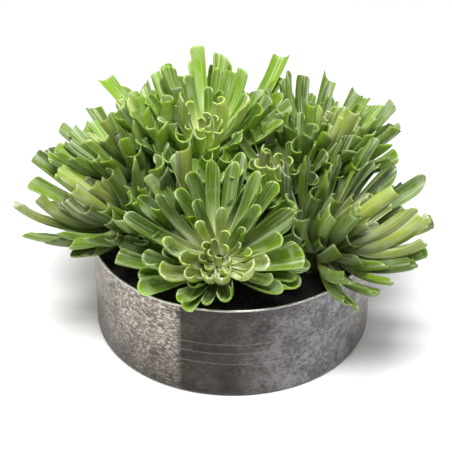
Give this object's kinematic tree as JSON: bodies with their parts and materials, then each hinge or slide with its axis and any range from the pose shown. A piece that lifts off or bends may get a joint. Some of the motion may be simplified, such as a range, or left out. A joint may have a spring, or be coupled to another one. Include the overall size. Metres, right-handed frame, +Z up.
{
  "type": "potted echeveria",
  "caption": "Clump of echeveria heads with long trough-shaped green leaves, growing in dark soil in a shallow round hammered metal bowl.",
  "frame": {"origin": "centre of the bowl's flat underside, on the surface it stands on", "axes": "+Z up; the largest head of leaves faces -Y, which is the front, and +X is to the right seen from the front"},
  "size_m": [0.3739, 0.277, 0.2247],
  "materials": {
    "bowl_metal": "hammered, darkened and waxed, with a polished rim",
    "soil": "moist dark potting mix",
    "stem": "green-brown skin with leaf scars",
    "young_leaf": "pale waxy bloom over fresh yellow-green",
    "leaf": "satin waxy apple green with a faint bloom"
  },
  "bodies": {
    "root": {"back_heart_leaves": "young_leaf", "back_middle_leaves": "leaf", "back_outer_leaves": "leaf", "back_stem": "stem", "bowl": "bowl_metal", "centre_heart_leaves": "young_leaf", "centre_middle_leaves": "leaf", "centre_outer_leaves": "leaf", "centre_stem": "stem", "front_heart_leaves": "young_leaf", "front_middle_leaves": "leaf", "front_outer_leaves": "leaf", "front_stem": "stem", "left_back_heart_leaves": "young_leaf", "left_back_middle_leaves": "leaf", "left_back_outer_leaves": "leaf", "left_back_stem": "stem", "left_heart_leaves": "young_leaf", "left_middle_leaves": "leaf", "left_outer_leaves": "leaf", "left_stem": "stem", "middle_heart_leaves": "young_leaf", "middle_middle_leaves": "leaf", "middle_outer_leaves": "leaf", "middle_stem": "stem", "right_back_heart_leaves": "young_leaf", "right_back_middle_leaves": "leaf", "right_back_outer_leaves": "leaf", "right_back_stem": "stem", "right_heart_leaves": "young_leaf", "right_middle_leaves": "leaf", "right_outer_leaves": "leaf", "right_stem": "stem", "soil": "soil"}
  },
  "joints": []
}
